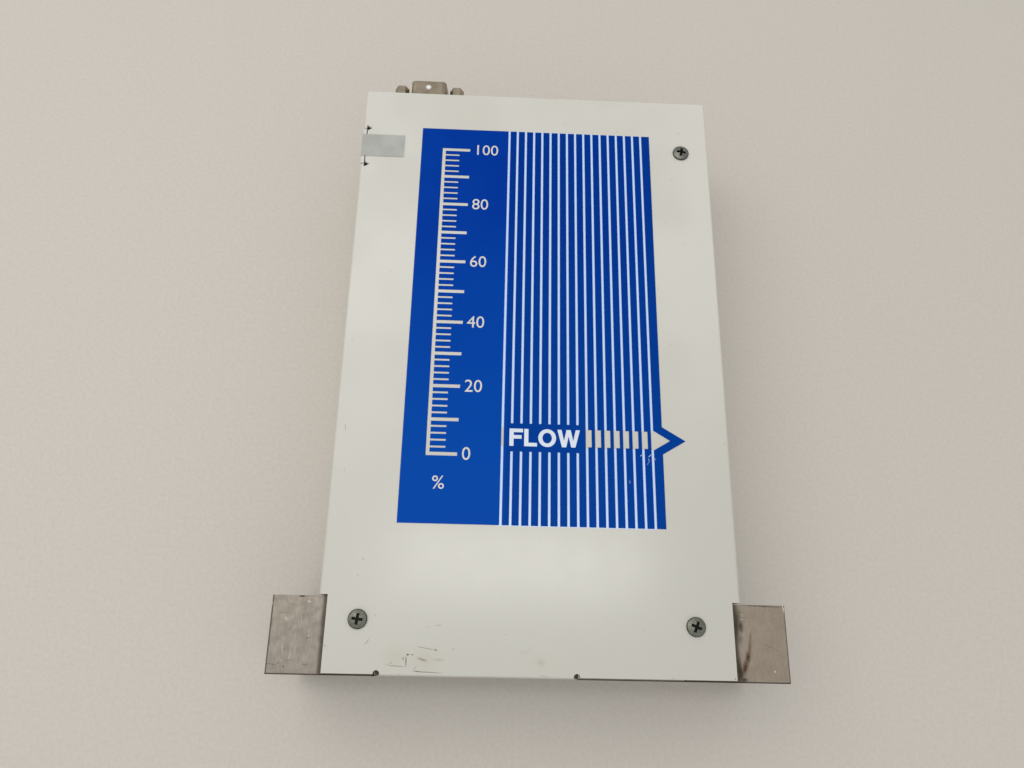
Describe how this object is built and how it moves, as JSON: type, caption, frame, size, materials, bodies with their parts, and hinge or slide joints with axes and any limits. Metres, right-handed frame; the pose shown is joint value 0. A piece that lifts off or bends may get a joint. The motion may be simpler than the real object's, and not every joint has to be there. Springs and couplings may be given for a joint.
{
  "type": "mass flow controller",
  "caption": "Flat white sheet-metal gas flow controller with steel flange blocks at its base, a blue lined flow print with an arrow and a micro-D connector at the far end.",
  "frame": {"origin": "middle of the overall footprint, on the rear cover's outer face", "axes": "+X along the gas flow from inlet to outlet, +Y from the base's mounting plane to the connector end, +Z out of the printed front cover"},
  "size_m": [0.105, 0.1454, 0.0307],
  "materials": {
    "white_paint": "satin off-white paint on folded sheet",
    "machined_steel": "satin milled stainless steel, scuffed",
    "screw_steel": "dull grey steel screw",
    "polished_steel": "fine turned stainless steel",
    "nickel": "dull nickel plate",
    "blue_ink": "blue screen-printed ink",
    "grey_film": "grey adhesive film",
    "green_board": "green solder mask on glass-epoxy board",
    "black_plastic": "black moulded plastic",
    "brass_plate": "plated brass",
    "piezo_ceramic": "coated piezo ceramic"
  },
  "bodies": {
    "root": {"actuator_tube": "polished_steel", "adjusting_cap": "machined_steel", "block_bolts": "screw_steel", "block_gaskets": "polished_steel", "board_link": "black_plastic", "board_screws": "screw_steel", "bonnet_screws": "screw_steel", "connector_board": "green_board", "connector_contacts": "brass_plate", "connector_insulator": "black_plastic", "connector_shell": "nickel", "cover_post": "brass_plate", "diaphragm_press": "polished_steel", "flow_print": "blue_ink", "front_cover": "white_paint", "front_cover_screws": "screw_steel", "inlet_block": "machined_steel", "inlet_filter": "polished_steel", "jackpost_nuts": "nickel", "jackposts": "nickel", "lock_nut": "machined_steel", "lower_standoffs": "brass_plate", "main_board": "green_board", "main_board_chips": "black_plastic", "orifice_plate": "polished_steel", "outlet_block": "machined_steel", "piezo_stack": "piezo_ceramic", "power_board": "green_board", "power_board_parts": "black_plastic", "pressure_sensor": "polished_steel", "rear_cover": "white_paint", "rear_cover_screws": "screw_steel", "seal_label": "grey_film", "sensor_clamp": "machined_steel", "sensor_gasket": "polished_steel", "sensor_screws": "screw_steel", "temperature_sensor": "polished_steel", "thrust_ball": "polished_steel", "upper_standoffs": "brass_plate", "valve_body": "machined_steel", "valve_bonnet": "machined_steel", "valve_diaphragm": "polished_steel"}
  },
  "joints": []
}
